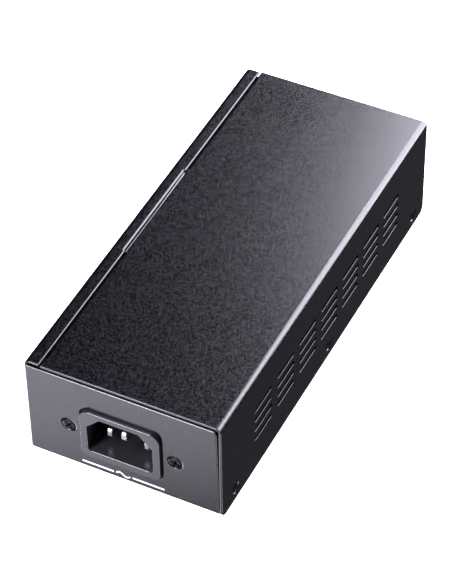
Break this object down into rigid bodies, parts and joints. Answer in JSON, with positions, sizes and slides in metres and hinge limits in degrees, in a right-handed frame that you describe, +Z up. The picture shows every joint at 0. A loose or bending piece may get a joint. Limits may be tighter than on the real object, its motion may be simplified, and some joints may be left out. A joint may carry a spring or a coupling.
{
  "type": "poe injector",
  "caption": "Mains-powered network power injector: folded steel case with slide-on cover, side vents, a three-pin mains inlet at one end and two network sockets at the other.",
  "frame": {"origin": "centre of the footprint, at the level that the rubber feet stand on", "axes": "+Z up; -Y is the end with the mains inlet, +Y the end with the network sockets; +X is the screwed side of the cover"},
  "size_m": [0.073, 0.1707, 0.0445],
  "materials": {
    "powder_coat": "fine-texture matte powder coat",
    "black_screw": "black oxide",
    "rubber": "matte",
    "inlet_plastic": "finely spark-eroded moulding",
    "blade_metal": "bright nickel plate",
    "steel_fastener": "zinc plate",
    "brass_nut": "turned",
    "live_insulation": "extruded insulation",
    "neutral_insulation": "extruded insulation",
    "earth_insulation": "striped insulation",
    "insulation_film": "translucent film",
    "board": "solder mask over laminate",
    "jack_shield": "tin plate",
    "jack_plastic": "moulded",
    "contact_gold": "gold flash",
    "led_green": "diffused lens",
    "led_amber": "diffused lens",
    "white_plastic": "moulded",
    "ceramic": "glazed ceramic tube",
    "blue_coating": "dipped epoxy",
    "green_coating": "dipped epoxy",
    "yellow_box": "moulded box",
    "ferrite": "sintered ferrite",
    "iron_powder": "painted powder core",
    "enamelled_wire": "enamelled copper",
    "package_black": "transfer moulding",
    "cap_sleeve": "shrink sleeve",
    "heatsink": "extruded",
    "bobbin_plastic": "moulded phenolic",
    "winding_tape": "polyester tape",
    "opto_white": "moulded"
  },
  "bodies": {
    "base": {"chassis": "powder_coat", "rubber_feet": "rubber", "inlet_housing": "inlet_plastic", "inlet_screws": "black_screw", "inlet_nuts": "steel_fastener", "live_blade": "blade_metal", "neutral_blade": "blade_metal", "earth_blade": "blade_metal", "live_lead": "live_insulation", "neutral_lead": "neutral_insulation", "earth_lead": "earth_insulation", "earth_stud": "steel_fastener", "earth_nut": "brass_nut", "insulation_sheet": "insulation_film", "pcb_standoffs": "steel_fastener", "main_pcb": "board", "pcb_screws": "steel_fastener", "lan_jack_shield": "jack_shield", "lan_jack_insert": "jack_plastic", "lan_jack_contacts": "contact_gold", "poe_jack_shield": "jack_shield", "poe_jack_insert": "jack_plastic", "poe_jack_contacts": "contact_gold", "led_holders": "package_black", "power_led": "led_green", "poe_led": "led_amber", "ac_connector": "white_plastic", "fuse": "ceramic", "fuse_clips": "steel_fastener", "varistor": "blue_coating", "inrush_thermistor": "green_coating", "x_capacitor": "yellow_box", "y_capacitors": "blue_coating", "choke_base": "package_black", "choke_core": "ferrite", "choke_windings": "enamelled_wire", "bridge_rectifier": "package_black", "bulk_capacitor": "cap_sleeve", "primary_heatsink": "heatsink", "switch_transistor": "package_black", "transformer_core": "ferrite", "transformer_bobbin": "bobbin_plastic", "transformer_winding": "winding_tape", "secondary_heatsink": "heatsink", "output_rectifier": "package_black", "heatsink_screws": "steel_fastener", "output_capacitors": "cap_sleeve", "output_choke_core": "iron_powder", "output_choke_winding": "enamelled_wire", "optocoupler": "opto_white", "pwm_controller": "package_black", "pse_controller": "package_black", "lan_magnetics": "package_black"},
    "cover": {"cover": "powder_coat", "cover_screws": "powder_coat"}
  },
  "joints": [
    {"name": "cover_slide", "type": "slide", "parent": "base", "child": "cover", "axis": [1, 0, 0], "range_m": [0, 0.08]}
  ]
}
